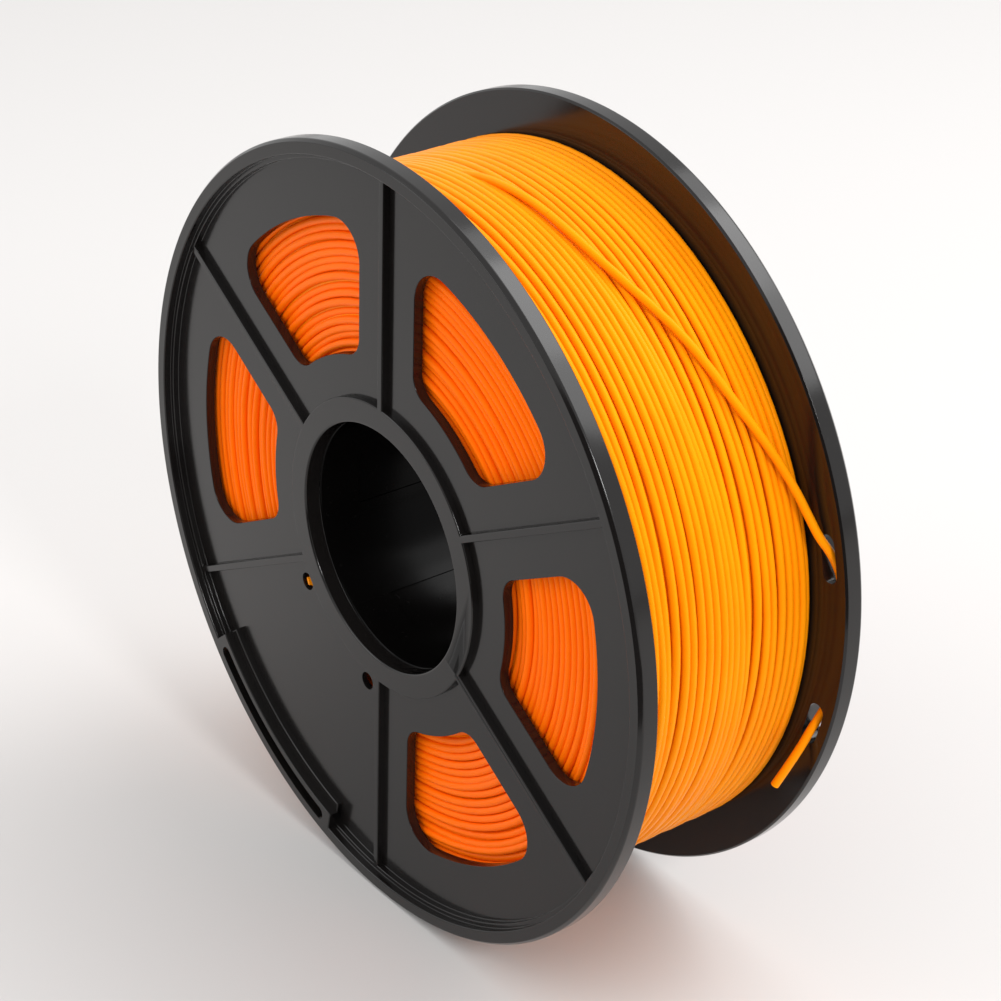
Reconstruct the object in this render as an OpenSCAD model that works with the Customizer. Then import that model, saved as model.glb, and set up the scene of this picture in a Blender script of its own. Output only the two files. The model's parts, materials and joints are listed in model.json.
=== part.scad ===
// Spool of 3D printing filament, standing on the rims of its two flanges.
// The spool turns about the Y axis, +Z is up, and the origin is the middle of the bore.
// The front flange is at -Y. All lengths are millimetres and all angles are degrees.

/* [Flanges] */
// Outside diameter of both flanges
flange_d = 165; // [150:1:200]
// Width over both flanges
spool_w = 54; // [45:1:70]
// Thickness of a flange at its rim
flange_t = 4.4; // [4.2:0.1:6]
// Width of the flat land round the rim
land_w = 3.1; // [2:0.1:5]
// How far the web lies below the land
web_depth = 3.1; // [2.4:0.1:3.2]
// How far the hub face, the ribs and the rim ledge lie below the land
rib_depth = 1.7; // [1:0.1:2.2]
// Width of each radial rib
rib_w = 1.5; // [0.8:0.1:2.5]
// How far the whole spool is turned about its axis
spool_turn = -3; // [-30:1:30]
// How far the rear flange is turned against the front one
rear_turn = 121; // [0:1:180]

/* [Bore and core] */
// Diameter of the bore
bore_d = 52; // [45:1:56]
// Outside diameter of the hub boss on each flange
hub_d = 62.4; // [60:0.2:66]
// Outside diameter of the core that the filament is wound on
core_d = 64; // [63:0.5:70]
// Wall thickness of the core's inner sleeve and of its outer drum
core_wall = 1.8; // [1.2:0.1:2.2]

/* [Windows] */
// Inner radius of a window
window_r_in = 39.5; // [37:0.1:45]
// Outer radius of a window
window_r_out = 66.9; // [60:0.1:70]
// Distance from a rib's middle line to the window's side, which is parallel to it
window_gap = 9; // [8:0.1:12]
// Radius of a window's outer corners
window_outer_corner = 7; // [3:0.1:8]
// Radius of a window's inner corners
window_inner_corner = 5; // [2:0.1:5]

/* [Filament] */
// Diameter of the filament
filament_d = 1.75; // [1.5:0.05:3]
// Outside diameter of the wound filament
winding_d = 147.4; // [100:0.2:147.4]
// Gap between the winding and the front flange
front_gap = 1.2; // [0.4:0.1:1.5]
// Gap between the winding and the rear flange
rear_gap = 0.3; // [0.1:0.1:1.5]

/* [Hidden] */

$fn = 128;
flange_r = flange_d / 2;
bore_r = bore_d / 2;
hub_r = hub_d / 2;
core_r = core_d / 2;
drum_in_r = core_r - core_wall;
sleeve_out_r = bore_r + core_wall;
winding_r = winding_d / 2;
filament_r = filament_d / 2;
cut = 1; // how far a cutting shape runs past the face that it cuts

// Rim section, from the land inwards
land_in_r = flange_r - land_w;
ledge_w = 1;
ledge_in_r = land_in_r - ledge_w;
edge_bevel = [0.4, 0.9];  // radial and axial size of the bevel on the rim's outer edge
back_bevel = 0.4;
bore_bevel = 0.5;
collar_clear = 0.1;       // clearance of the hub's collar inside the core's drum
collar_len = 0.9;         // how far the collar reaches into the drum
inner_face_y = spool_w / 2 - flange_t;
winding_front_y = front_gap - inner_face_y;
winding_rear_y = inner_face_y - rear_gap;

// Six ribs part the web into sectors: five have a window, the sixth is plain
rib_count = 6;
sector = 360 / rib_count;
plain_mid = 240;          // middle of the plain sector before the spool is turned
corner_steps = 6;
arc_steps = 12;

// Clip in the plain sector: a raised block with a curved channel and a hole at each end
block_half = 18.7;
block_in_r = flange_r - 7.2;
block_ledge_r = flange_r - 9.7;
channel_r = flange_r - 4.3;
channel_w = 3.2;
channel_depth = 2.6;
channel_half = 15.7;
clip_hole_w = 3.6;
clip_hole_span = [11.2, 15.7];  // from the middle of the block to the ends of a hole's middle line
clip_hole_from = 0.6;      // depth at which the holes start, below the land
start_hole_d = 3.8;
start_hole_r = 35.2;
start_hole_at = 21.3;      // angle from the middle of the plain sector

// Ribs between sleeve and drum, and the tongues by which the two core halves interlock
core_rib_count = 8;
core_rib_t = 1.2;
tongue_count = 4;
tongue_len = 12;
tongue_clear = 0.1;
seam_at = 237.5;          // one of the seams between the tongues, before the spool is turned
sleeve_bevel = 0.35;

// Free end of the filament: angle, radius and Y of each point of its middle line.
// It leaves the winding, passes out through one clip hole of the rear flange,
// lies in the channel, comes back through the other hole and ends cut off.
tail_route = [
    [73, 74.65, -0.2], [68.1, 74.65, 0.4], [63.3, 74.65, 1.3], [57.9, 74.65, 3.1],
    [52.6, 74.65, 5.5], [47.2, 74.65, 8.1], [41.8, 74.65, 10.3], [36.4, 74.65, 12.5],
    [31, 74.65, 15.3], [26.1, 74.8, 17.8], [21.1, 75.5, 19.8], [17.5, 76.4, 20.8],
    [14.8, 77.5, 21.5], [12.6, 78.1, 22.9], [10.4, 78.2, 24.3], [8.2, 78.2, 25.2], [5, 78.2, 25.4],
    [0.5, 78.2, 25.4], [-4, 78.2, 25.4], [-9, 78.2, 25.4], [-12.2, 78.2, 25.1], [-14.4, 78.2, 24],
    [-16.6, 78.3, 22.6], [-19, 78.6, 21.2], [-22.3, 79, 19.3], [-26, 79.5, 17.4]
];
tail_sides = 8;

// Point on the spool at an angle and radius about the axis, and a place along it
function on_spool(p) = [p[1] * cos(p[0]), p[2], p[1] * sin(p[0])];
function unit(v) = v / norm(v);
// Direction of a route at its point i
function heading(route, i) =
    unit(route[min(i + 1, len(route) - 1)] - route[max(i - 1, 0)]);
// Ring of points round a route's point i, square to the route
function ring(route, i, radius) =
    let (forward = heading(route, i),
         side = unit(cross(forward, [1, 0.2, 0.1])),
         up = cross(side, forward))
    [for (k = [0 : tail_sides - 1])
        route[i] + radius * (cos(360 * k / tail_sides) * side + sin(360 * k / tail_sides) * up)];

// Solid tube swept along a route
module tube_along(route, radius) {
    rings = len(route);
    points = [for (i = [0 : rings - 1]) each ring(route, i, radius)];
    walls = [for (i = [0 : rings - 2]) for (k = [0 : tail_sides - 1])
        let (next = (k + 1) % tail_sides)
        [i * tail_sides + k, i * tail_sides + next,
         (i + 1) * tail_sides + next, (i + 1) * tail_sides + k]];
    first_end = [for (k = [tail_sides - 1 : -1 : 0]) k];
    last_end = [for (k = [0 : tail_sides - 1]) (rings - 1) * tail_sides + k];
    polyhedron(points, concat([first_end], walls, [last_end]));
}

// Middle of a window's corner at +Y: the corner touches the side and lies at that radius
function corner_centre(centre_r, corner) =
    let (across = window_gap + corner,
         along = sqrt(centre_r * centre_r - across * across),
         rib_at = sector / 2)
    [along * cos(rib_at) + across * sin(rib_at), along * sin(rib_at) - across * cos(rib_at)];
function arc(centre, radius, from, to, steps) =
    [for (i = [0 : steps])
        centre + radius * [cos(from + (to - from) * i / steps), sin(from + (to - from) * i / steps)]];

// Outline of one window, symmetrical about the X axis
module window_outline() {
    outer = corner_centre(window_r_out - window_outer_corner, window_outer_corner);
    inner = corner_centre(window_r_in + window_inner_corner, window_inner_corner);
    outer_at = atan2(outer[1], outer[0]);
    inner_at = atan2(inner[1], inner[0]);
    side_at = 90 + sector / 2;
    half = concat(
        arc([0, 0], window_r_out, 0, outer_at, arc_steps),
        arc(outer, window_outer_corner, outer_at, side_at, corner_steps),
        arc(inner, window_inner_corner, side_at, 180 + inner_at, corner_steps),
        arc([0, 0], window_r_in, inner_at, 0, arc_steps));
    polygon(half);
    mirror([0, 1]) polygon(half);
}

// Section of a flange, radius against depth below the land
module flange_section() {
    polygon([
        [bore_r + bore_bevel, rib_depth], [hub_r, rib_depth], [hub_r, web_depth],
        [ledge_in_r, web_depth], [ledge_in_r, rib_depth], [land_in_r, rib_depth],
        [land_in_r, 0], [flange_r - edge_bevel[0], 0], [flange_r, edge_bevel[1]],
        [flange_r, flange_t - back_bevel], [flange_r - back_bevel, flange_t],
        [drum_in_r - collar_clear, flange_t],
        [drum_in_r - collar_clear, flange_t + collar_len],
        [bore_r, flange_t + collar_len], [bore_r, rib_depth + bore_bevel]
    ]);
}

// Ring section swept over part of a turn, centred on the X axis
module arc_ring(r_in, r_out, depth_from, depth_to, half) {
    rotate([0, 0, -half])
        rotate_extrude(angle = 2 * half)
            translate([r_in, depth_from]) square([r_out - r_in, depth_to - depth_from]);
}

// Curved band between two radii, with flat ends, centred on the X axis
module band(r_in, r_out, half) {
    polygon(concat(arc([0, 0], r_in, -half, half, arc_steps),
                   arc([0, 0], r_out, half, -half, arc_steps)));
}

// Curved slot with round ends, from one angle to another
module arc_slot(radius, width, from, to) {
    end_r = width / 2;
    polygon(concat(
        arc([0, 0], radius - end_r, to, from, arc_steps),
        arc(radius * [cos(from), sin(from)], end_r, from + 195, from + 345, corner_steps),
        arc([0, 0], radius + end_r, from, to, arc_steps),
        arc(radius * [cos(to), sin(to)], end_r, to + 15, to + 165, corner_steps)));
}

// Raised block that carries the clip, centred on the X axis
module clip_block() {
    linear_extrude(web_depth + 0.5) band(block_in_r, land_in_r + cut, block_half);
    translate([0, 0, rib_depth])
        linear_extrude(web_depth + 0.5 - rib_depth) band(block_ledge_r, block_in_r + cut, block_half);
}

// Channel and holes of the clip, centred on the X axis
module clip_cuts() {
    translate([0, 0, -cut])
        linear_extrude(channel_depth + cut) arc_slot(channel_r, channel_w, -channel_half, channel_half);
    for (side = [-1, 1]) {
        ends = side * clip_hole_span;
        translate([0, 0, clip_hole_from])
            linear_extrude(flange_t) arc_slot(channel_r, clip_hole_w, min(ends), max(ends));
        rotate([0, 0, side * start_hole_at])
            translate([start_hole_r, 0, web_depth - cut])
                cylinder(d = start_hole_d, h = flange_t, $fn = 32);
    }
}

// One flange, with its land at Z = 0 and its inside towards +Z
module flange(plain_at) {
    color("#3a3837")
    difference() {
        union() {
            rotate_extrude() flange_section();
            for (i = [0 : rib_count - 1])
                rotate([0, 0, plain_at + (i + 0.5) * sector])
                    translate([hub_r - 0.5, -rib_w / 2, rib_depth])
                        cube([ledge_in_r - hub_r + 1, rib_w, web_depth - rib_depth + 0.5]);
            rotate([0, 0, plain_at]) clip_block();
        }
        for (i = [1 : rib_count - 1])
            rotate([0, 0, plain_at + i * sector])
                translate([0, 0, web_depth - cut])
                    linear_extrude(flange_t) window_outline();
        rotate([0, 0, plain_at]) clip_cuts();
    }
}

// Inner sleeve of a core half, which starts at the hub's collar and has its tongues past Z = 0
module core_sleeve() {
    sleeve_end = inner_face_y - collar_len;
    tongue_span = 180 / tongue_count;
    difference() {
        rotate_extrude()
            polygon([
                [bore_r, -tongue_len], [sleeve_out_r, -tongue_len], [sleeve_out_r, sleeve_end],
                [bore_r + sleeve_bevel, sleeve_end], [bore_r, sleeve_end - sleeve_bevel]
            ]);
        for (i = [0 : tongue_count - 1])
            rotate([0, 0, (2 * i + 0.5) * tongue_span])
                arc_ring(bore_r - cut, sleeve_out_r + cut, -tongue_len - cut,
                         tongue_len + tongue_clear,
                         tongue_span / 2 + tongue_clear / bore_r * 180 / PI);
    }
}

// Half of the core, with Z = 0 at the spool's middle and the flange's end at +Z
module core_half() {
    sleeve_end = inner_face_y - collar_len;
    rib_start = tongue_len + 2 * tongue_clear;
    difference() {
        cylinder(r = core_r, h = inner_face_y);
        translate([0, 0, -cut]) cylinder(r = drum_in_r, h = inner_face_y + 2 * cut);
    }
    for (i = [0 : core_rib_count - 1])
        rotate([0, 0, (i + 0.5) * 360 / core_rib_count])
            translate([sleeve_out_r - 0.3, -core_rib_t / 2, rib_start])
                cube([drum_in_r - sleeve_out_r + 0.6, core_rib_t, sleeve_end - rib_start]);
    core_sleeve();
}

module front_flange() {
    mirror([0, 1, 0])
        translate([0, spool_w / 2, 0])
            rotate([90, 0, 0]) flange(plain_mid + spool_turn);
}

module rear_flange() {
    translate([0, spool_w / 2, 0])
        rotate([90, 0, 0]) flange(plain_mid + spool_turn + rear_turn);
}

// The two core halves are one moulding used twice, turned so that their tongues interleave
module front_core() {
    color("#2c2a2a")
        rotate([90, 0, 0]) rotate([0, 0, seam_at + spool_turn]) core_half();
}

module rear_core() {
    color("#2c2a2a")
        mirror([0, 1, 0])
            rotate([90, 0, 0]) rotate([0, 0, seam_at + spool_turn + 180 / tongue_count]) core_half();
}

// Ring of wound filament between two radii
module wound_ring(r_in, r_out) {
    length = winding_rear_y - winding_front_y;
    translate([0, winding_rear_y, 0])
        rotate([90, 0, 0])
            difference() {
                cylinder(r = r_out, h = length);
                translate([0, 0, -cut]) cylinder(r = r_in, h = length + 2 * cut);
            }
}

module filament_pack() {
    color("#f07818") wound_ring(core_r, winding_r - filament_d);
}

module filament_top_layer() {
    color("#ffa000") wound_ring(winding_r - filament_d, winding_r);
}

// First end of the filament, bent out into a hole beside the hub of the front flange
module filament_start() {
    start_at = plain_mid + spool_turn - start_hole_at;
    place = on_spool([start_at, start_hole_r, winding_front_y]);
    end_y = web_depth + 0.1 - spool_w / 2;
    color("#f07818")
        translate(place) rotate([90, 0, 0]) cylinder(d = filament_d, h = winding_front_y - end_y, $fn = 32);
}

module filament_tail() {
    color("#ffa000") tube_along([for (p = tail_route) on_spool(p)], filament_r);
}

front_flange();
rear_flange();
front_core();
rear_core();
filament_pack();
filament_top_layer();
filament_start();
filament_tail();
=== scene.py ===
"""Spool of 3D printing filament: the visual model, built round its CAD frame.

Lengths are metres. The spool's axis is Y, +Z is up and the front flange is at -Y.
"""

import json
import math
import random

import bpy
from mathutils import Matrix, Vector


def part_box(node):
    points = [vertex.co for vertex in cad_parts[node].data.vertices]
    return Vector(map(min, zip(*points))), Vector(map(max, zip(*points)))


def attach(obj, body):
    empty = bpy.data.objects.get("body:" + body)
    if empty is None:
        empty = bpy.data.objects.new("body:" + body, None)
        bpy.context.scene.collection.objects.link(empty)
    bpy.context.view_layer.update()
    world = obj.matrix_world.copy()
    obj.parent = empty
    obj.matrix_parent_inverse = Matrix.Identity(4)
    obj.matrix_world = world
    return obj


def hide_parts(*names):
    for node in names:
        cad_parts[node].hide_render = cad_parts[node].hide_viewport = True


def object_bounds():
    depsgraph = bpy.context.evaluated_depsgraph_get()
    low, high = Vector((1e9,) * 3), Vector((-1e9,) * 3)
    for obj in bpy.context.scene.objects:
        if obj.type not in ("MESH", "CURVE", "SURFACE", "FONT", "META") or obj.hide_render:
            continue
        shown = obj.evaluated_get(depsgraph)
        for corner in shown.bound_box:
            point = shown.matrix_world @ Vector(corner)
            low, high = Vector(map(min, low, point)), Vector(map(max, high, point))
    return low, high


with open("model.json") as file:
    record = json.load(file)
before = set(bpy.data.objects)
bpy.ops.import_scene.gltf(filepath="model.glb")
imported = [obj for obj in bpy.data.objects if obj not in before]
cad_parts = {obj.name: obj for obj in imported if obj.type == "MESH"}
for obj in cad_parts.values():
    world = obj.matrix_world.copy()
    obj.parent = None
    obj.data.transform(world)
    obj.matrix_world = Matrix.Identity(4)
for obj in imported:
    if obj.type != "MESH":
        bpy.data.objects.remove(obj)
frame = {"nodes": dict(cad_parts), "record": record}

bl_info = {
    "name": "Filament spool",
    "version": (1, 0, 0),
    "blender": (4, 5, 0),
    "location": "3D View > Sidebar > Spool",
    "description": "Builds a filament spool with its flanges, core, winding and free end",
    "category": "Add Mesh",
}

MM = 0.001
CAD_BOX = [list(corner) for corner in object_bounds()]
FLANGE_LOW, FLANGE_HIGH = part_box("front_flange")
CORE_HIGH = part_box("rear_core")[1]
LAYER_LOW, LAYER_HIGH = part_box("filament_top_layer")
BORE = next(m for m in frame["record"]["mounts"] if m["name"] == "bore")

FLANGE_R = FLANGE_HIGH[0]
SPOOL_HALF_W = -FLANGE_LOW[1]
INNER_FACE_Y = CORE_HIGH[1]
BORE_R = BORE["dims"]["r_mm"] * MM
CORE_R = CORE_HIGH[0]
WINDING_R = LAYER_HIGH[0]
WINDING_FRONT_Y = LAYER_LOW[1]
WINDING_REAR_Y = LAYER_HIGH[1]
FLOOR_Z = CAD_BOX[0][2]
FLANGE_T = SPOOL_HALF_W - INNER_FACE_Y

RIBS = 6
SECTOR = math.tau / RIBS
FRONT_PLAIN_AT = math.radians(237)
REAR_PLAIN_AT = math.radians(358)

# Ledge inside the rim's land, and the collar by which a flange sits in the core
LEDGE_W = 1 * MM
COLLAR_R = CORE_R - 1.9 * MM
COLLAR_LEN = 0.9 * MM

# Clip in the plain sector: a block with a ledge, a curved channel and a hole at each end
BLOCK_HALF = math.radians(18.7)
BLOCK_IN_R = FLANGE_R - 7.2 * MM
BLOCK_LEDGE_R = FLANGE_R - 9.7 * MM
CHANNEL_R = FLANGE_R - 4.3 * MM
CHANNEL_HALF = math.radians(15.7)
CHANNEL_W = 3.2 * MM
CHANNEL_DEPTH = 2.6 * MM
CLIP_HOLE_ENDS = (math.radians(11.2), math.radians(15.7))
CLIP_HOLE_W = 3.6 * MM
CLIP_HOLE_FROM = 0.6 * MM

# Two round holes beside the hub, one each side of the middle of the plain sector
START_HOLE_AT = math.radians(21.3)
START_HOLE_R = 35.2 * MM
START_HOLE_SIZE = 1.9 * MM

# Rings round the axis that hold the edges of the windows and of the holes beside the hub
WINDOW_RING = (39 * MM, 67.5 * MM)
START_HOLE_RING = (32.5 * MM, 37.5 * MM)

# Lip round each window on the inside: the window's outline, stretched and moved inwards
LIP_H = 0.8 * MM
LIP_STRETCH = (1.015, 1.04)
LIP_MOVE = 0.8 * MM

# How far added shapes sink into the web, and how far cutting shapes reach past it
OVERLAP = 0.5 * MM
CUT_LOW = MM
CUT_HIGH = 8 * MM

# Soft lights: name, place, side and power in watts
LIGHTS = (
    ("key", (0.4, 0.8, 0.95), 0.9, 8.5),
    ("top", (0.05, 0.5, 1.1), 0.8, 4),
    ("fill", (-0.5, -0.9, 0.6), 0.8, 3.5),
    ("side", (0.9, -0.12, 0.57), 0.2, 3.5),
)

# Free end of the filament: degrees round the axis, radius and Y in millimetres
TAIL_ROUTE = [
    (73, 74.65, -0.2), (68.1, 74.65, 0.4), (63.3, 74.65, 1.3), (57.9, 74.65, 3.1),
    (52.6, 74.65, 5.5), (47.2, 74.65, 8.1), (41.8, 74.65, 10.3), (36.4, 74.65, 12.5),
    (31, 74.65, 15.3), (26.1, 74.8, 17.8), (21.1, 75.5, 19.8), (17.5, 76.4, 20.8),
    (14.8, 77.5, 21.5), (12.6, 78.1, 22.9), (10.4, 78.2, 24.3), (8.2, 78.2, 25.2), (5, 78.2, 25.4),
    (0.5, 78.2, 25.4), (-4, 78.2, 25.4), (-9, 78.2, 25.4), (-12.2, 78.2, 25.1), (-14.4, 78.2, 24),
    (-16.6, 78.3, 22.6), (-19, 78.6, 21.2), (-22.3, 79, 19.3), (-26, 79.5, 17.4),
]


# ---------------------------------------------------------------- settings


class SpoolShape(bpy.types.PropertyGroup):
    """Sizes of the flange moulding, measured inwards from the rim's land."""

    web_depth: bpy.props.FloatProperty(
        name="Web depth", description="How far the web lies below the land",
        default=3.1 * MM, unit="LENGTH")
    rib_depth: bpy.props.FloatProperty(
        name="Rib depth", description="How far hub, ribs and rim ledge lie below the land",
        default=1.7 * MM, unit="LENGTH")
    land_w: bpy.props.FloatProperty(
        name="Land width", description="Width of the land round the rim",
        default=3.1 * MM, unit="LENGTH")
    hub_r: bpy.props.FloatProperty(
        name="Hub radius", description="Outer radius of the hub boss",
        default=31.2 * MM, unit="LENGTH")
    rib_w: bpy.props.FloatProperty(
        name="Rib width", description="Width of a radial rib",
        default=1.5 * MM, unit="LENGTH")
    window_r_in: bpy.props.FloatProperty(
        name="Window inner radius", description="Radius of a window's inner edge",
        default=39.5 * MM, unit="LENGTH")
    window_r_out: bpy.props.FloatProperty(
        name="Window outer radius", description="Radius of a window's outer edge",
        default=66.9 * MM, unit="LENGTH")
    window_gap: bpy.props.FloatProperty(
        name="Window gap", description="Distance from a rib's middle line to the window's side",
        default=9 * MM, unit="LENGTH")
    window_outer_corner: bpy.props.FloatProperty(
        name="Window outer corner", description="Radius of a window's outer corners",
        default=7 * MM, unit="LENGTH")
    window_inner_corner: bpy.props.FloatProperty(
        name="Window inner corner", description="Radius of a window's inner corners",
        default=5 * MM, unit="LENGTH")


class FilamentShape(bpy.types.PropertyGroup):
    """Sizes and colours of the filament, with a deeper orange for the turns against the flanges as
    painted shade.
    """

    diameter: bpy.props.FloatProperty(
        name="Diameter", description="Diameter of the filament",
        default=1.75 * MM, unit="LENGTH")
    turns: bpy.props.IntProperty(
        name="Turns", description="Turns in the outer layer", default=25)
    wander: bpy.props.FloatProperty(
        name="Wander", description="How far a turn strays sideways",
        default=0.45 * MM, unit="LENGTH")
    seed: bpy.props.IntProperty(
        name="Seed", description="Seed of the turns' wander", default=11)
    colour: bpy.props.FloatVectorProperty(
        name="Colour", description="Colour of the filament",
        subtype="COLOR", size=3, default=(0.96, 0.315, 0.001))
    deep_colour: bpy.props.FloatVectorProperty(
        name="Deep colour", description="Colour of the filament where it is thickest",
        subtype="COLOR", size=3, default=(0.94, 0.25, 0.001))
    # The turns against the flanges use a deeper, redder copy of the filament's colour as painted shade:
    # it stands in for the dim, bounced light in the hollow behind each flange.
    side_painted_shade_colour: bpy.props.FloatVectorProperty(
        name="Side colour with painted shade", description="Colour of the turns that lie against the flanges",
        subtype="COLOR", size=3, default=(0.99, 0.165, 0.001))
    side_deep_painted_shade_colour: bpy.props.FloatVectorProperty(
        name="Deep side colour with painted shade", description="Colour of those turns where they are thickest",
        subtype="COLOR", size=3, default=(0.97, 0.13, 0.001))


class StageShape(bpy.types.PropertyGroup):
    """Camera and lights."""

    azimuth: bpy.props.FloatProperty(
        name="Azimuth", description="Camera's angle from -Y towards +X",
        default=math.radians(52.79), subtype="ANGLE")
    elevation: bpy.props.FloatProperty(
        name="Elevation", description="Camera's angle above the horizon",
        default=math.radians(27.59), subtype="ANGLE")
    roll: bpy.props.FloatProperty(
        name="Roll", description="Camera's turn about its own axis",
        default=0.0, subtype="ANGLE")
    distance: bpy.props.FloatProperty(
        name="Distance", description="Camera's distance from the point it aims at",
        default=0.51055, unit="LENGTH")
    aim_right: bpy.props.FloatProperty(
        name="Aim right", description="How far right of the spool's middle the camera aims",
        default=4.107 * MM, unit="LENGTH")
    aim_up: bpy.props.FloatProperty(
        name="Aim up", description="How far above the spool's middle the camera aims",
        default=2.595 * MM, unit="LENGTH")
    lens: bpy.props.FloatProperty(
        name="Lens", description="Focal length in millimetres on a 36 mm sensor", default=90.41)
    paper: bpy.props.FloatVectorProperty(
        name="Paper", description="Colour of the floor",
        subtype="COLOR", size=3, default=(0.585, 0.572, 0.564))


# ---------------------------------------------------------------- shader helpers


class Value:
    """A socket that changes over a surface. Arithmetic on it adds Math nodes."""

    def __init__(self, finish, socket):
        self.finish = finish
        self.socket = socket

    def _math(self, operation, left, right):
        return self.finish.node("ShaderNodeMath", {"operation": operation}, {0: left, 1: right})

    def __add__(self, other):
        return self._math("ADD", self, other)

    def __radd__(self, other):
        return self._math("ADD", other, self)

    def __sub__(self, other):
        return self._math("SUBTRACT", self, other)

    def __rsub__(self, other):
        return self._math("SUBTRACT", other, self)

    def __mul__(self, other):
        return self._math("MULTIPLY", self, other)

    def __rmul__(self, other):
        return self._math("MULTIPLY", other, self)


class Finish:
    """A material under construction."""

    def __init__(self, name, constants):
        self.material = bpy.data.materials.new(name)
        self.material.use_nodes = True
        self.tree = self.material.node_tree
        self.shader = self.tree.nodes["Principled BSDF"]
        for socket, value in constants.items():
            self.shader.inputs[socket].default_value = value
        self.place = self.node("ShaderNodeTexCoord", {}, {}, "Object")

    def node(self, kind, settings, sockets, output=0):
        """Adds a node, sets its settings, then fills its sockets with values or links."""
        made = self.tree.nodes.new(kind)
        for setting, value in settings.items():
            if setting == "stops":
                self._stops(made.color_ramp, value)
            else:
                setattr(made, setting, value)
        for socket, value in sockets.items():
            if isinstance(value, Value):
                self.tree.links.new(value.socket, made.inputs[socket])
            else:
                made.inputs[socket].default_value = value
        return Value(self, made.outputs[output])

    @staticmethod
    def _stops(ramp, stops):
        for _ in range(len(stops) - 2):
            ramp.elements.new(0.5)
        for element, (place, grey) in zip(ramp.elements, stops):
            element.position = place
            element.color = (grey, grey, grey, 1)

    def noise(self, size, detail, roughness=0.5):
        """Cloudy pattern whose patches are about `size` metres across, from 0 to 1."""
        sockets = {"Vector": self.place, "Scale": 1 / size, "Detail": detail, "Roughness": roughness}
        return self.node("ShaderNodeTexNoise", {}, sockets, "Fac")

    def ramp(self, value, stops):
        return self.node("ShaderNodeValToRGB", {"stops": stops}, {"Fac": value})

    def mix(self, factor, first, second):
        """Blends two colours."""
        sockets = {0: factor, 6: first, 7: second}
        return self.node("ShaderNodeMix", {"data_type": "RGBA"}, sockets, 2)

    def feed(self, socket, value):
        self.tree.links.new(value.socket, self.shader.inputs[socket])

    def bump(self, height, distance):
        sockets = {"Height": height, "Distance": distance, "Strength": 1.0}
        self.feed("Normal", self.node("ShaderNodeBump", {}, sockets))


def rgba(colour):
    return (*colour, 1)


def black_plastic(name, gloss, shine, grey):
    """Moulded black plastic: gloss 1 is polished, shine is its strength, grey scales its tone."""
    rough = 0.3 - 0.2 * gloss
    finish = Finish(name, {"IOR": 1.5, "Specular IOR Level": shine})
    flow = finish.noise(30 * MM, 3)
    speck = finish.ramp(finish.noise(0.9 * MM, 1), [(0.70, 0), (0.78, 1)])
    worn = finish.noise(2.2 * MM, 4, 0.6)
    dark = rgba([0.0055 * grey, 0.0048 * grey, 0.0046 * grey])
    light = rgba([0.0085 * grey, 0.0074 * grey, 0.0070 * grey])
    tone = finish.mix(flow, dark, light)
    finish.feed("Base Color", finish.mix(speck * 0.1, tone, rgba((0.03, 0.028, 0.027))))
    finish.feed("Roughness", rough + flow * 0.03 + worn * 0.03 + speck * 0.05)
    finish.bump(finish.noise(0.35 * MM, 2) * 0.4 + finish.noise(6 * MM, 2), 0.006 * MM)
    return finish.material


def orange_plastic(name, colour, deep_colour):
    """Extruded filament: an even orange with faint patches and a soft shine."""
    finish = Finish(name, {"IOR": 1.46, "Specular IOR Level": 0.2,
                           "Specular Tint": (1, 0.62, 0.1, 1)})
    patch = finish.noise(14 * MM, 2)
    fine = finish.noise(0.8 * MM, 2)
    finish.feed("Base Color", finish.mix(patch, rgba(deep_colour), rgba(colour)))
    finish.feed("Roughness", 0.3 + patch * 0.12 + fine * 0.06)
    finish.bump(finish.noise(3 * MM, 1), 0.02 * MM)
    return finish.material


def paper(name, colour):
    """Matt white studio paper."""
    finish = Finish(name, {"Roughness": 0.9, "Specular IOR Level": 0.1})
    cloud = finish.noise(0.25, 2)
    shade = rgba([part * 0.985 for part in colour])
    finish.feed("Base Color", finish.mix(cloud * 0.3, rgba(colour), shade))
    return finish.material


# ---------------------------------------------------------------- mesh helpers


def deselect_all():
    if bpy.context.mode != "OBJECT":
        bpy.ops.object.mode_set(mode="OBJECT")
    bpy.ops.object.select_all(action="DESELECT")


def activate(piece):
    deselect_all()
    piece.select_set(True)
    bpy.context.view_layer.objects.active = piece


def new_mesh(name, points, edges=(), faces=()):
    mesh = bpy.data.meshes.new(name)
    mesh.from_pydata([tuple(p) for p in points], list(edges), list(faces))
    piece = bpy.data.objects.new(name, mesh)
    bpy.context.scene.collection.objects.link(piece)
    activate(piece)
    return piece


def clean():
    """Welds doubled points of the active piece and turns its faces outwards."""
    bpy.ops.object.mode_set(mode="EDIT")
    bpy.ops.mesh.select_all(action="SELECT")
    bpy.ops.mesh.remove_doubles(threshold=0.001 * MM)
    bpy.ops.mesh.normals_make_consistent(inside=False)
    bpy.ops.object.mode_set(mode="OBJECT")


def lathe(name, outline, steps):
    """Closed outline of (radius, depth) points spun about Z."""
    count = len(outline)
    edges = [(i, (i + 1) % count) for i in range(count)]
    piece = new_mesh(name, [(r, 0, z) for r, z in outline], edges)
    bpy.ops.object.mode_set(mode="EDIT")
    bpy.ops.mesh.select_all(action="SELECT")
    bpy.ops.mesh.spin(steps=steps, angle=math.tau, center=(0, 0, 0), axis=(0, 0, 1))
    bpy.ops.object.mode_set(mode="OBJECT")
    clean()
    return piece


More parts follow.
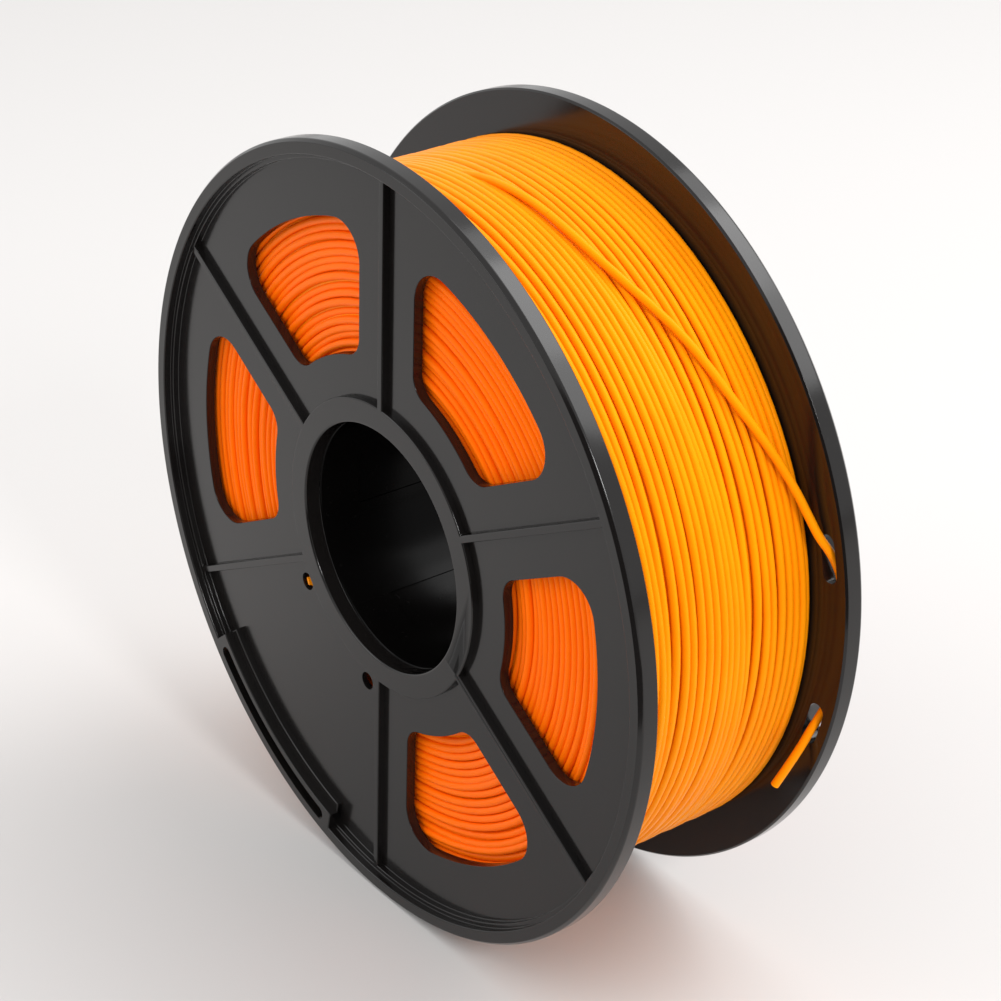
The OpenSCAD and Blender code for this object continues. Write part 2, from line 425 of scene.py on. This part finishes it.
def prism(name, outline, low, high):
    """Flat outline of (x, y) points extruded from one depth to another."""
    piece = new_mesh(name, [(x, y, low) for x, y in outline], faces=[range(len(outline))])
    bpy.ops.object.mode_set(mode="EDIT")
    bpy.ops.mesh.select_all(action="SELECT")
    bpy.ops.mesh.extrude_region_move(TRANSFORM_OT_translate={"value": (0, 0, high - low)})
    bpy.ops.object.mode_set(mode="OBJECT")
    clean()
    return piece


def turned(piece, angle):
    """Turns a piece's mesh about Z."""
    piece.data.transform(Matrix.Rotation(angle, 4, "Z"))
    return piece


def joined(pieces):
    """Joins pieces into the first one."""
    deselect_all()
    for piece in pieces:
        piece.select_set(True)
    bpy.context.view_layer.objects.active = pieces[0]
    bpy.ops.object.join()
    return pieces[0]


def boolean(piece, tool, operation):
    """Cuts the tool out of the piece, or adds it, and removes the tool."""
    change = piece.modifiers.new(operation, "BOOLEAN")
    change.operation = operation
    change.solver = "EXACT"
    change.object = tool
    activate(piece)
    bpy.ops.object.modifier_apply(modifier=change.name)
    bpy.data.objects.remove(tool)


def rounded(corners, steps=3):
    """Outline whose corners, given as (x, y, radius), are rounded with arcs."""
    points = []
    for i, (x, y, radius) in enumerate(corners):
        here = Vector((x, y))
        back = Vector(corners[i - 1][:2]) - here
        ahead = Vector(corners[(i + 1) % len(corners)][:2]) - here
        if radius == 0:
            points.append(here)
            continue
        half = back.angle(ahead) / 2
        reach = radius / math.tan(half)
        centre = here + (back.normalized() + ahead.normalized()).normalized() * radius / math.sin(half)
        first = here + back.normalized() * reach - centre
        last = here + ahead.normalized() * reach - centre
        sweep = first.angle_signed(last)
        for step in range(steps + 1):
            points.append(centre + Matrix.Rotation(-sweep * step / steps, 2) @ first)
    return points


def arc(centre, radius, start, end, steps):
    angles = [start + (end - start) * i / steps for i in range(steps + 1)]
    return [(centre[0] + radius * math.cos(a), centre[1] + radius * math.sin(a)) for a in angles]


def bevel_where(piece, chosen, width, segments=3):
    """Bevels the sharp edges for which chosen(radius, angle, depth) holds at both ends."""
    activate(piece)
    bpy.ops.object.mode_set(mode="EDIT")
    bpy.ops.mesh.select_mode(type="EDGE")
    bpy.ops.mesh.select_all(action="DESELECT")
    bpy.ops.mesh.edges_select_sharp(sharpness=math.radians(50))
    bpy.ops.object.mode_set(mode="OBJECT")
    points = piece.data.vertices
    kept = [chosen(math.hypot(p.co.x, p.co.y), math.atan2(p.co.y, p.co.x), p.co.z) for p in points]
    for edge in piece.data.edges:
        edge.select = edge.select and all(kept[v] for v in edge.vertices)
    for point in points:
        point.select = False
    for face in piece.data.polygons:
        face.select = False
    bpy.ops.object.mode_set(mode="EDIT")
    bpy.ops.mesh.bevel(offset=width, segments=segments, affect="EDGES", clamp_overlap=True)
    bpy.ops.object.mode_set(mode="OBJECT")


def soften_top(piece, depth):
    """Rounds the edges round a block's top face, which lies at that depth."""
    bevel_where(piece, lambda radius, angle, z: abs(z - depth) < 0.01 * MM, 0.25 * MM)


def finish_piece(piece, name, material, body="root"):
    """Names a piece, gives it its finish and fixes it to its body."""
    piece.name = name
    piece.data.name = name
    piece.data.materials.clear()
    piece.data.materials.append(material)
    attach(piece, body)


# ---------------------------------------------------------------- flanges


def window_outline(shape):
    """One window, symmetrical about the X axis, with its sides parallel to the ribs."""
    rib_at = SECTOR / 2

    def corner(radius, rounding):
        across = shape.window_gap + rounding
        along = math.sqrt(radius * radius - across * across)
        return (along * math.cos(rib_at) + across * math.sin(rib_at),
                along * math.sin(rib_at) - across * math.cos(rib_at))

    far, near = shape.window_outer_corner, shape.window_inner_corner
    outer = corner(shape.window_r_out - far, far)
    inner = corner(shape.window_r_in + near, near)
    outer_at = math.atan2(outer[1], outer[0])
    inner_at = math.atan2(inner[1], inner[0])
    side_at = math.pi / 2 + rib_at
    half = arc((0, 0), shape.window_r_out, 0, outer_at, 14)
    half += arc(outer, far, outer_at, side_at, 12)[1:]
    half += arc(inner, near, side_at, math.pi + inner_at, 12)
    half += arc((0, 0), shape.window_r_in, inner_at, 0, 10)[1:]
    return half + [(x, -y) for x, y in reversed(half[1:-1])]


def band_outline(r_in, r_out, half):
    return arc((0, 0), r_in, -half, half, 40) + arc((0, 0), r_out, half, -half, 40)


def slot_outline(radius, width, start, end):
    end_r = width / 2
    first = (radius * math.cos(start), radius * math.sin(start))
    last = (radius * math.cos(end), radius * math.sin(end))
    steps = max(6, int((end - start) / math.radians(1)))
    return (arc((0, 0), radius - end_r, end, start, steps)
            + arc(first, end_r, start + math.pi, start + math.tau, 10)[1:-1]
            + arc((0, 0), radius + end_r, start, end, steps)
            + arc(last, end_r, end, end + math.pi, 10)[1:-1])


def flange_outline(shape):
    """Section of the flange: radius against depth below the land."""
    web, rib = shape.web_depth, shape.rib_depth
    land_in = FLANGE_R - shape.land_w
    ledge_in = land_in - LEDGE_W
    collar_end = FLANGE_T + COLLAR_LEN
    return rounded([
        (BORE_R, rib, 0.45 * MM), (shape.hub_r, rib, 0.3 * MM), (shape.hub_r, web, 0),
        (ledge_in, web, 0.2 * MM), (ledge_in, rib, 0.2 * MM), (land_in, rib, 0.15 * MM),
        (land_in, 0, 0.3 * MM), (FLANGE_R - 0.65 * MM, 0, 0.2 * MM),
        (FLANGE_R, 0.75 * MM, 0.7 * MM), (FLANGE_R, FLANGE_T - 0.4 * MM, 0.15 * MM),
        (FLANGE_R - 0.4 * MM, FLANGE_T, 0.15 * MM), (COLLAR_R, FLANGE_T, 0),
        (COLLAR_R, collar_end, 0), (BORE_R, collar_end, 0.2 * MM),
    ])


def rib(shape, angle):
    """One rib, from the hub to the rim's ledge, with rounded top edges."""
    start = shape.hub_r - 0.8 * MM
    end = FLANGE_R - shape.land_w - 0.6 * MM
    low, high = shape.rib_depth, shape.web_depth + OVERLAP
    top, foot = shape.rib_w / 2, shape.rib_w / 2 + 0.08 * MM
    edge = 0.25 * MM
    section = rounded([(-top, low, edge), (top, low, edge), (foot, high, 0), (-foot, high, 0)])
    piece = new_mesh("rib", [(start, y, z) for y, z in section], faces=[range(len(section))])
    bpy.ops.object.mode_set(mode="EDIT")
    bpy.ops.mesh.select_all(action="SELECT")
    bpy.ops.mesh.extrude_region_move(TRANSFORM_OT_translate={"value": (end - start, 0, 0)})
    bpy.ops.object.mode_set(mode="OBJECT")
    clean()
    return turned(piece, angle)


def clip_block(shape):
    """Raised block that carries the clip, with its lower ledge."""
    foot = shape.web_depth + OVERLAP
    land_in = FLANGE_R - shape.land_w
    rim_overlap = 0.9 * MM
    block = prism("block", band_outline(BLOCK_IN_R, land_in + rim_overlap, BLOCK_HALF), 0, foot)
    soften_top(block, 0)
    ledge = prism("ledge", band_outline(BLOCK_LEDGE_R, BLOCK_IN_R + rim_overlap, BLOCK_HALF),
                  shape.rib_depth, foot)
    soften_top(ledge, shape.rib_depth)
    boolean(block, ledge, "UNION")
    return block


def window_lips(shape):
    """Lips that deepen the windows' walls on the inside."""
    along, across = LIP_STRETCH
    outline = [(x * along - LIP_MOVE, y * across) for x, y in window_outline(shape)]
    low, high = FLANGE_T - 0.3 * MM, FLANGE_T + LIP_H
    return [turned(prism("lip", outline, low, high), i * SECTOR) for i in range(1, RIBS)]


def through_cuts(shape):
    """Windows, clip holes and the holes beside the hub."""
    web = shape.web_depth
    window = window_outline(shape)
    cutters = [turned(prism("window", window, web - CUT_LOW, CUT_HIGH), i * SECTOR)
               for i in range(1, RIBS)]
    near, far = CLIP_HOLE_ENDS
    for start, end in ((-far, -near), (near, far)):
        hole = slot_outline(CHANNEL_R, CLIP_HOLE_W, start, end)
        cutters.append(prism("clip_hole", hole, CLIP_HOLE_FROM, CUT_HIGH))
    for at in (-START_HOLE_AT, START_HOLE_AT):
        hole = arc((START_HOLE_R, 0), START_HOLE_SIZE, 0, math.tau * 31 / 32, 31)
        cutters.append(turned(prism("start_hole", hole, web - CUT_LOW, CUT_HIGH), at))
    return cutters


def flange_moulding(shape):
    """The flange with its land at Z = 0, its inside towards +Z and its plain sector at +X."""
    piece = lathe("flange", flange_outline(shape), 288)
    added = [rib(shape, (i + 0.5) * SECTOR) for i in range(RIBS)]
    boolean(piece, joined(added + [clip_block(shape)]), "UNION")
    channel = slot_outline(CHANNEL_R, CHANNEL_W, -CHANNEL_HALF, CHANNEL_HALF)
    boolean(piece, prism("channel", channel, -CUT_LOW, CHANNEL_DEPTH), "DIFFERENCE")
    boolean(piece, joined(window_lips(shape)), "UNION")
    boolean(piece, joined(through_cuts(shape)), "DIFFERENCE")
    soften_flange(piece, shape)
    return piece


def soften_flange(piece, shape):
    """Merges flat faces that the cuts split, then rounds the cut edges."""
    activate(piece)
    bpy.ops.object.mode_set(mode="EDIT")
    bpy.ops.mesh.select_all(action="SELECT")
    bpy.ops.mesh.remove_doubles(threshold=0.002 * MM)
    bpy.ops.mesh.dissolve_limited(angle_limit=math.radians(0.2))
    bpy.ops.object.mode_set(mode="OBJECT")
    near = 0.02 * MM

    def on_web(depth):
        return abs(depth - shape.web_depth) < near

    def window_edge(radius, angle, depth):
        in_sector = abs(math.remainder(angle, SECTOR)) < math.radians(25)
        in_ring = WINDOW_RING[0] < radius < WINDOW_RING[1]
        return on_web(depth) and in_sector and in_ring

    def start_hole_edge(radius, angle, depth):
        in_ring = START_HOLE_RING[0] < radius < START_HOLE_RING[1]
        return on_web(depth) and in_ring and abs(angle) < math.radians(27)

    bevel_where(piece, window_edge, 0.15 * MM)
    bevel_where(piece, start_hole_edge, 0.25 * MM, 2)


def weigh_normals(piece):
    """Smooth shading in which flat faces stay flat."""
    activate(piece)
    bpy.ops.object.shade_smooth_by_angle(angle=math.radians(35))
    change = piece.modifiers.new("weigh", "WEIGHTED_NORMAL")
    change.keep_sharp = True
    bpy.ops.object.modifier_apply(modifier=change.name)


def place_flange(moulding, angle, side):
    """Copy of the moulding on the spool: side is -1 at the front and 1 at the rear."""
    piece = moulding.copy()
    piece.data = moulding.data.copy()
    bpy.context.scene.collection.objects.link(piece)
    to_spool = Matrix(((1, 0, 0, 0), (0, 0, -side, side * SPOOL_HALF_W), (0, 1, 0, 0),
                       (0, 0, 0, 1)))
    piece.data.transform(to_spool @ Matrix.Rotation(angle, 4, "Z"))
    if side < 0:
        piece.data.flip_normals()
    weigh_normals(piece)
    return piece


class SPOOL_OT_flanges(bpy.types.Operator):
    """Build the flange moulding and set it on both ends of the spool"""

    bl_idname = "spool.flanges"
    bl_label = "Flanges"

    def execute(self, context):
        plastic = black_plastic("flange_plastic", 0.9, 0.37, 1.0)
        moulding = flange_moulding(context.scene.spool_shape)
        ends = (("front_flange", FRONT_PLAIN_AT, -1), ("rear_flange", REAR_PLAIN_AT, 1))
        for node, angle, side in ends:
            piece = place_flange(moulding, angle, side)
            finish_piece(piece, node + "_moulding", plastic)
            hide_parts(node)
        bpy.data.objects.remove(moulding)
        return {"FINISHED"}


class SPOOL_OT_core(bpy.types.Operator):
    """Give the two halves of the core their finish, with the tone darkened as painted shade inside the
    bore
    """

    bl_idname = "spool.core"
    bl_label = "Core"

    def execute(self, context):
        # The core's tone is scaled to 0.3 of the flange's as painted shade inside the bore, and its
        # shine is lowered.
        plastic = black_plastic("core_plastic", 0.7, 0.06, 0.3)
        for node in ("front_core", "rear_core"):
            half = frame["nodes"][node]
            half.data.materials.clear()
            half.data.materials.append(plastic)
        return {"FINISHED"}


# ---------------------------------------------------------------- filament


def on_spool(angle, radius, along):
    """Point at an angle and radius about the axis, and a place along it."""
    return Vector((radius * math.cos(angle), along, radius * math.sin(angle)))


def strand(name, routes, radius, sides=2):
    """Round strands along routes of points, as one curve."""
    curve = bpy.data.curves.new(name, "CURVE")
    curve.dimensions = "3D"
    curve.bevel_depth = radius
    curve.bevel_resolution = sides
    curve.use_fill_caps = True
    for route in routes:
        spline = curve.splines.new("POLY")
        spline.points.add(len(route) - 1)
        for point, place in zip(spline.points, route):
            point.co = (*place, 1)
    piece = bpy.data.objects.new(name, curve)
    bpy.context.scene.collection.objects.link(piece)
    return piece


def as_mesh(piece):
    """Turns a curve into a smooth mesh."""
    activate(piece)
    bpy.ops.object.convert(target="MESH")
    bpy.ops.object.shade_smooth()
    return piece


class Wander:
    """Smooth, repeatable straying of the turns, the same for turns that lie close together."""

    def __init__(self, seed, waves):
        dice = random.Random(seed)
        self.waves = [
            (size, pace, dice.uniform(0, math.tau), dice.uniform(*drift)) for size, pace, drift in waves
        ]

    def __call__(self, angle, turn):
        return sum(size * math.sin(pace * angle + phase + drift * turn)
                   for size, pace, phase, drift in self.waves)


def layer_route(filament, radius, seed, start, turns, way, steps=110):
    """Helix across the spool, whose turns wander; way is 1 towards the rear and -1 to the front."""
    lean = filament.wander
    middle = (WINDING_FRONT_Y + WINDING_REAR_Y) / 2
    half_w = (WINDING_REAR_Y - WINDING_FRONT_Y - filament.diameter) / 2
    sideways = Wander(seed, [(lean, 1.0, (0.35, 0.6)), (lean * 0.7, 2.0, (0.5, 0.9)),
                             (lean * 0.45, 3.0, (0.8, 1.6)), (lean * 0.25, 5.0, (1.0, 2.4))])
    lift = Wander(seed + 1, [(0.1 * MM, 2.0, (1.8, 2.6)), (0.08 * MM, 3.0, (2.0, 4.0)),
                             (0.05 * MM, 7.0, (1.0, 3.0))])
    route = []
    for i in range(int(turns * steps) + 1):
        turn = i / steps
        angle = start - math.tau * turn
        share = max(0, min(1, (turn - 0.8) / (turns - 1.6)))
        calm = min(1.0, 6 * share, 6 * (1 - share))
        along = way * (2 * share - 1) * half_w + calm * sideways(angle, turn)
        along = max(-half_w, min(half_w, along))
        route.append(on_spool(angle, radius + lift(angle, turn) - 0.12 * MM, middle + along))
    return route


def side_route(filament, seed, side, start):
    """Flat spiral of the turns that lie against one flange."""
    thick = filament.diameter
    first = CORE_R + thick / 2
    last = WINDING_R - 1.4 * thick
    turns = (last - first) / (0.95 * thick)
    swell = Wander(seed, [(0.22 * MM, 1.0, (0.6, 1.6)), (0.16 * MM, 2.0, (1.2, 2.6)),
                          (0.08 * MM, 4.0, (1.5, 3.0))])
    depth = Wander(seed + 1, [(0.22 * MM, 1.0, (1.6, 2.8)), (0.2 * MM, 2.0, (1.4, 3.0)),
                              (0.12 * MM, 3.0, (0.5, 2.0))])
    steps = 90
    route = []
    for i in range(int(turns * steps) + 1):
        turn = i / steps
        angle = start - math.tau * turn
        inset = thick / 2 + 0.3 * MM - max(-0.5 * MM, min(0.3 * MM, depth(angle, turn)))
        along = WINDING_FRONT_Y + inset if side < 0 else WINDING_REAR_Y - inset
        route.append(on_spool(angle, first + (last - first) * turn / turns + swell(angle, turn), along))
    return route


def pack_outline(filament):
    """Section of the wound body: ridged where its turns meet the air."""
    thick = filament.diameter
    inner, outer = CORE_R + 0.1 * MM, WINDING_R - 1.5 * thick
    front, rear = WINDING_FRONT_Y + 1.1 * thick, WINDING_REAR_Y - 1.1 * thick
    outline = []

    def ridges(start, end, outwards):
        count = max(1, round((end - start).length / (0.97 * thick)))
        step = (end - start) / count
        for i in range(count):
            for share, rise in ((0.0, 0.0), (0.2, 0.75), (0.5, 1.0), (0.8, 0.75)):
                outline.append(start + step * (i + share) + outwards * rise * 0.42 * thick)

    corners = [Vector((inner, front)), Vector((outer, front)), Vector((outer, rear)),
               Vector((inner, rear))]
    ridges(corners[0], corners[1], Vector((0, -1)))
    ridges(corners[1], corners[2], Vector((1, 0)))
    ridges(corners[2], corners[3], Vector((0, 1)))
    outline.append(corners[3])
    return outline


class SPOOL_OT_tail(bpy.types.Operator):
    """Lay the free end of the filament along its route"""

    bl_idname = "spool.tail"
    bl_label = "Free end"

    def execute(self, context):
        filament = context.scene.spool_filament
        route = [on_spool(math.radians(a), r * MM, y * MM) for a, r, y in TAIL_ROUTE]
        curve = bpy.data.curves.new("filament_free_end", "CURVE")
        curve.dimensions = "3D"
        curve.bevel_depth = filament.diameter / 2
        curve.bevel_resolution = 4
        curve.resolution_u = 8
        curve.use_fill_caps = True
        spline = curve.splines.new("BEZIER")
        spline.bezier_points.add(len(route) - 1)
        for point, place in zip(spline.bezier_points, route):
            point.co = place
            point.handle_left_type = "AUTO"
            point.handle_right_type = "AUTO"
        piece = bpy.data.objects.new("filament_free_end", curve)
        context.scene.collection.objects.link(piece)
        orange = orange_plastic("free_end_orange", filament.colour, filament.deep_colour)
        finish_piece(piece, "filament_free_end", orange)
        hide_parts("filament_tail")
        return {"FINISHED"}


class SPOOL_OT_winding(bpy.types.Operator):
    """Wind the filament: its body, the turns against each flange and the outer layer"""

    bl_idname = "spool.winding"
    bl_label = "Winding"

    def execute(self, context):
        filament = context.scene.spool_filament
        orange = orange_plastic("filament_orange", filament.colour, filament.deep_colour)
        # The turns against the flanges take the deeper orange, which is painted shade.
        side_painted_shade_orange = orange_plastic("side_painted_shade_orange", filament.side_painted_shade_colour, filament.side_deep_painted_shade_colour)
        thick = filament.diameter
        body = lathe("filament_wound_body", pack_outline(filament), 96)
        body.data.transform(Matrix.Rotation(math.radians(-90), 4, "X"))
        bpy.ops.object.shade_smooth_by_angle(angle=math.radians(70))
        finish_piece(body, "filament_wound_body", orange)
        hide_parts("filament_pack")
        for name, seed, side, start in (("front", 31, -1, 0.6), ("rear", 47, 1, 2.0)):
            turns = as_mesh(strand(f"filament_{name}_turns",
                                   [side_route(filament, filament.seed + seed, side, start)], thick / 2))
            finish_piece(turns, f"filament_{name}_turns", side_painted_shade_orange)
        outer_r = WINDING_R - thick / 2
        outer = layer_route(filament, outer_r, filament.seed, math.radians(250), filament.turns, 1)
        under = layer_route(filament, outer_r - 0.85 * thick, filament.seed + 5, math.radians(230),
                            filament.turns - 1, -1, 90)
        first = TAIL_ROUTE[0]
        rising = [on_spool(math.radians(first[0] + 3 * i), (first[1] - 2.4 * (i / 7) ** 2) * MM,
                           (first[2] - 0.3 * i) * MM) for i in range(7, -1, -1)]
        layer = as_mesh(strand("filament_outer_turns", [outer, under, rising], thick / 2))
        finish_piece(layer, "filament_outer_turns", orange)
        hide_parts("filament_top_layer")
        return {"FINISHED"}


class SPOOL_OT_first_end(bpy.types.Operator):
    """Bend the first end of the filament out into its hole in the front flange"""

    bl_idname = "spool.first_end"
    bl_label = "First end"

    def execute(self, context):
        filament = context.scene.spool_filament
        low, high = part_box("filament_start")
        middle = (Vector(low) + Vector(high)) / 2
        angle = math.atan2(middle.z, middle.x)
        radius = math.hypot(middle.x, middle.z)
        route = []
        for step in range(13):
            share = step / 12
            along = high[1] + 1.5 * MM - share * (high[1] + 1.5 * MM - low[1])
            turn = math.radians(14) * (1 - share) ** 2.2
            route.append(on_spool(angle + turn, radius - 1.2 * MM * (1 - share), along))
        orange = orange_plastic("first_end_orange", filament.colour, filament.deep_colour)
        piece = as_mesh(strand("filament_first_end", [route], filament.diameter / 2, 3))
        finish_piece(piece, "filament_first_end", orange)
        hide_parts("filament_start")
        return {"FINISHED"}


# ---------------------------------------------------------------- stage


def camera_axes(stage):
    """Camera's backward, right and upward directions."""
    azimuth, elevation = stage.azimuth, stage.elevation
    back = Vector((math.sin(azimuth) * math.cos(elevation), -math.cos(azimuth) * math.cos(elevation),
                   math.sin(elevation)))
    right = Vector((math.cos(azimuth), math.sin(azimuth), 0))
    return back, right, back.cross(right)


def soft_box(name, place, side, power):
    """Square soft light at a place, turned to the spool."""
    light = bpy.data.lights.new(name, "AREA")
    light.shape = "SQUARE"
    light.size = side
    light.energy = power
    lamp = bpy.data.objects.new(name, light)
    lamp.location = place
    lamp.rotation_mode = "QUATERNION"
    lamp.rotation_quaternion = (-Vector(place)).to_track_quat("-Z", "Y")
    bpy.context.scene.collection.objects.link(lamp)


class SPOOL_OT_stage(bpy.types.Operator):
    """Set up the floor, the lights and the camera"""

    bl_idname = "spool.stage"
    bl_label = "Stage"

    def execute(self, context):
        scene = context.scene
        stage = scene.spool_stage
        back, right, up = camera_axes(stage)
        aim = right * stage.aim_right + up * stage.aim_up
        lens = bpy.data.cameras.new("camera")
        lens.lens = stage.lens
        lens.sensor_width = 36
        camera = bpy.data.objects.new("camera", lens)
        scene.collection.objects.link(camera)
        scene.camera = camera
        pose = Matrix((right, up, back)).transposed()
        camera.rotation_mode = "QUATERNION"
        camera.rotation_quaternion = (pose @ Matrix.Rotation(stage.roll, 3, "Z")).to_quaternion()
        camera.location = aim + back * stage.distance
        deselect_all()
        bpy.ops.mesh.primitive_plane_add(size=8, location=(0, 0, 0))
        floor = context.object
        floor.data.transform(Matrix.Translation((0, 0, FLOOR_Z)))
        floor.name = "floor"
        floor.data.materials.append(paper("floor_paper", stage.paper))
        world = bpy.data.worlds.new("studio")
        world.use_nodes = True
        world.node_tree.nodes["Background"].inputs["Color"].default_value = (1, 1, 1, 1)
        world.node_tree.nodes["Background"].inputs["Strength"].default_value = 1.0
        scene.world = world
        for light in LIGHTS:
            soft_box(*light)
        self.dark_card()
        scene.view_settings.view_transform = "Standard"
        scene.view_settings.look = "None"
        return {"FINISHED"}

    @staticmethod
    def dark_card():
        """Black card beside the camera, which shows only where the polished plastic mirrors it."""
        ahead = Vector((0.616, -0.788, 0))
        aside = Vector((0.788, 0.616, 0)) * 0.35
        rise = Vector((0, 0, 0.65))
        near, far = ahead * 0.2, ahead * 0.8
        low = Vector((0, 0, FLOOR_Z + MM))
        card = new_mesh("dark_card", [near - aside + low, near + aside + low, far + aside + low,
                                      far - aside + low, far + aside + rise, far - aside + rise],
                        faces=[(0, 1, 2, 3), (3, 2, 4, 5)])
        black = Finish("card_black", {"Base Color": (0.002, 0.002, 0.002, 1), "Roughness": 1.0})
        card.data.materials.append(black.material)
        card.visible_camera = False
        card.visible_diffuse = False
        card.visible_shadow = False


# ---------------------------------------------------------------- panel and main

OPERATORS = (SPOOL_OT_stage, SPOOL_OT_tail, SPOOL_OT_flanges, SPOOL_OT_core, SPOOL_OT_winding,
             SPOOL_OT_first_end)


class SPOOL_PT_panel(bpy.types.Panel):
    """Lists the steps that build the spool"""

    bl_label = "Filament spool"
    bl_idname = "SPOOL_PT_panel"
    bl_space_type = "VIEW_3D"
    bl_region_type = "UI"
    bl_category = "Spool"

    def draw(self, context):
        for operator in OPERATORS:
            self.layout.operator(operator.bl_idname)
        for group in GROUPS:
            settings = getattr(context.scene, group)
            box = self.layout.box()
            for name in settings.__annotations__:
                box.prop(settings, name)


GROUPS = {"spool_shape": SpoolShape, "spool_filament": FilamentShape, "spool_stage": StageShape}
CLASSES = (*GROUPS.values(), *OPERATORS, SPOOL_PT_panel)


def register():
    for item in CLASSES:
        bpy.utils.register_class(item)
    for name, group in GROUPS.items():
        setattr(bpy.types.Scene, name, bpy.props.PointerProperty(type=group))


def unregister():
    for name in GROUPS:
        delattr(bpy.types.Scene, name)
    for item in reversed(CLASSES):
        bpy.utils.unregister_class(item)


def main():
    register()
    for operator in OPERATORS:
        group, name = operator.bl_idname.split(".")
        getattr(getattr(bpy.ops, group), name)()
    deselect_all()


if __name__ == "__main__":
    main()
